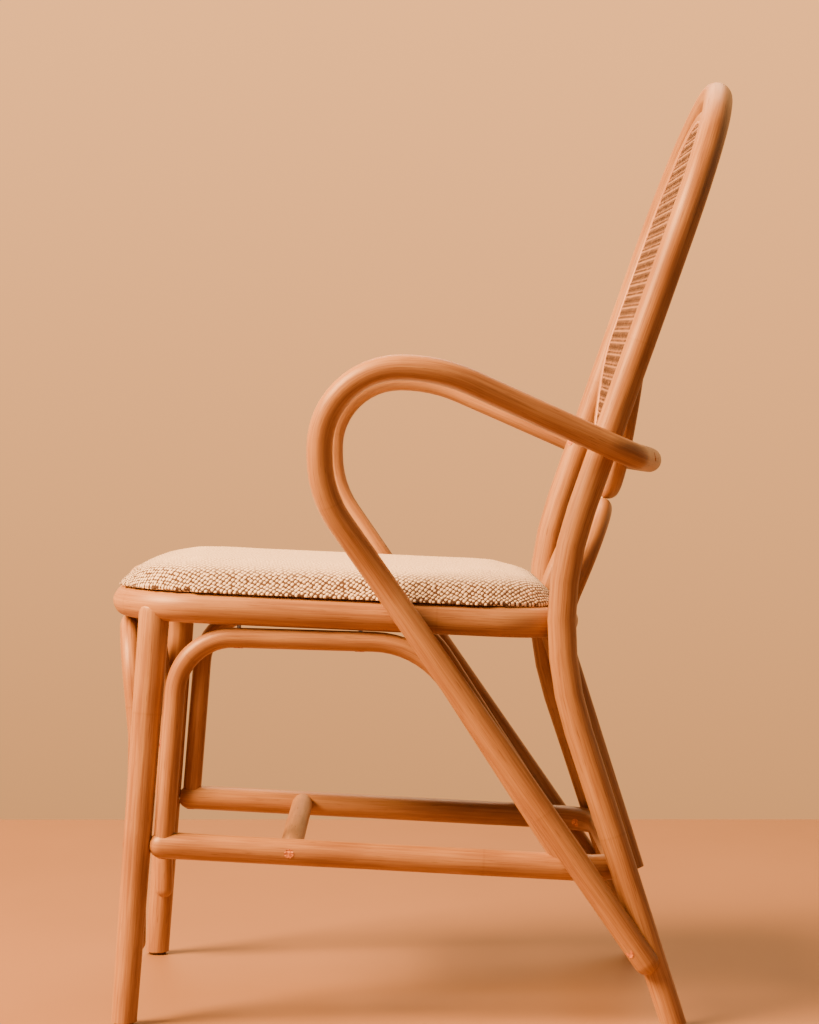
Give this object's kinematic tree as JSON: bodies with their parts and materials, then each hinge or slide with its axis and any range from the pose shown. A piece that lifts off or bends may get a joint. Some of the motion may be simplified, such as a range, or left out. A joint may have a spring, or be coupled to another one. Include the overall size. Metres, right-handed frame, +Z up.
{
  "type": "rattan armchair",
  "caption": "Armchair of bent rattan poles with a caned oval back, looped arms, arched braces and a padded seat.",
  "frame": {"origin": "middle of the chair's outline on the floor, under the seat", "axes": "+X to the sitter's left, -Y to the front of the chair, +Z up"},
  "size_m": [0.5544, 0.6196, 0.922],
  "materials": {
    "rattan": "honey-brown satin lacquer",
    "cane": "natural woven cane, matt",
    "plug_wood": "lacquered end grain",
    "plywood": "raw",
    "boucle": "nubby cream boucle",
    "foam": "open-cell foam",
    "dust_cloth": "black non-woven cloth",
    "steel": "zinc plated",
    "nylon": "dark brown, matt"
  },
  "bodies": {
    "root": {"seat_ring": "rattan", "back_and_rear_legs": "rattan", "arm_pole": "rattan", "back_oval_ring": "rattan", "cane_panel": "cane", "cane_spline": "cane", "stretcher_u": "rattan", "cross_stretcher": "rattan", "front_arch": "rattan", "rear_arch": "rattan", "front_leg_left": "rattan", "front_leg_right": "rattan", "side_arch_left": "rattan", "side_arch_right": "rattan", "seat_board": "plywood", "seat_foam": "foam", "seat_cover": "boucle", "dust_cover": "dust_cloth", "seat_screws": "steel", "leg_screws": "steel", "stretcher_screws": "steel", "arm_screws": "steel", "arch_screws": "steel", "back_screws": "steel", "screw_plugs": "plug_wood", "foot_glides": "nylon", "glide_nails": "steel"}
  },
  "joints": []
}
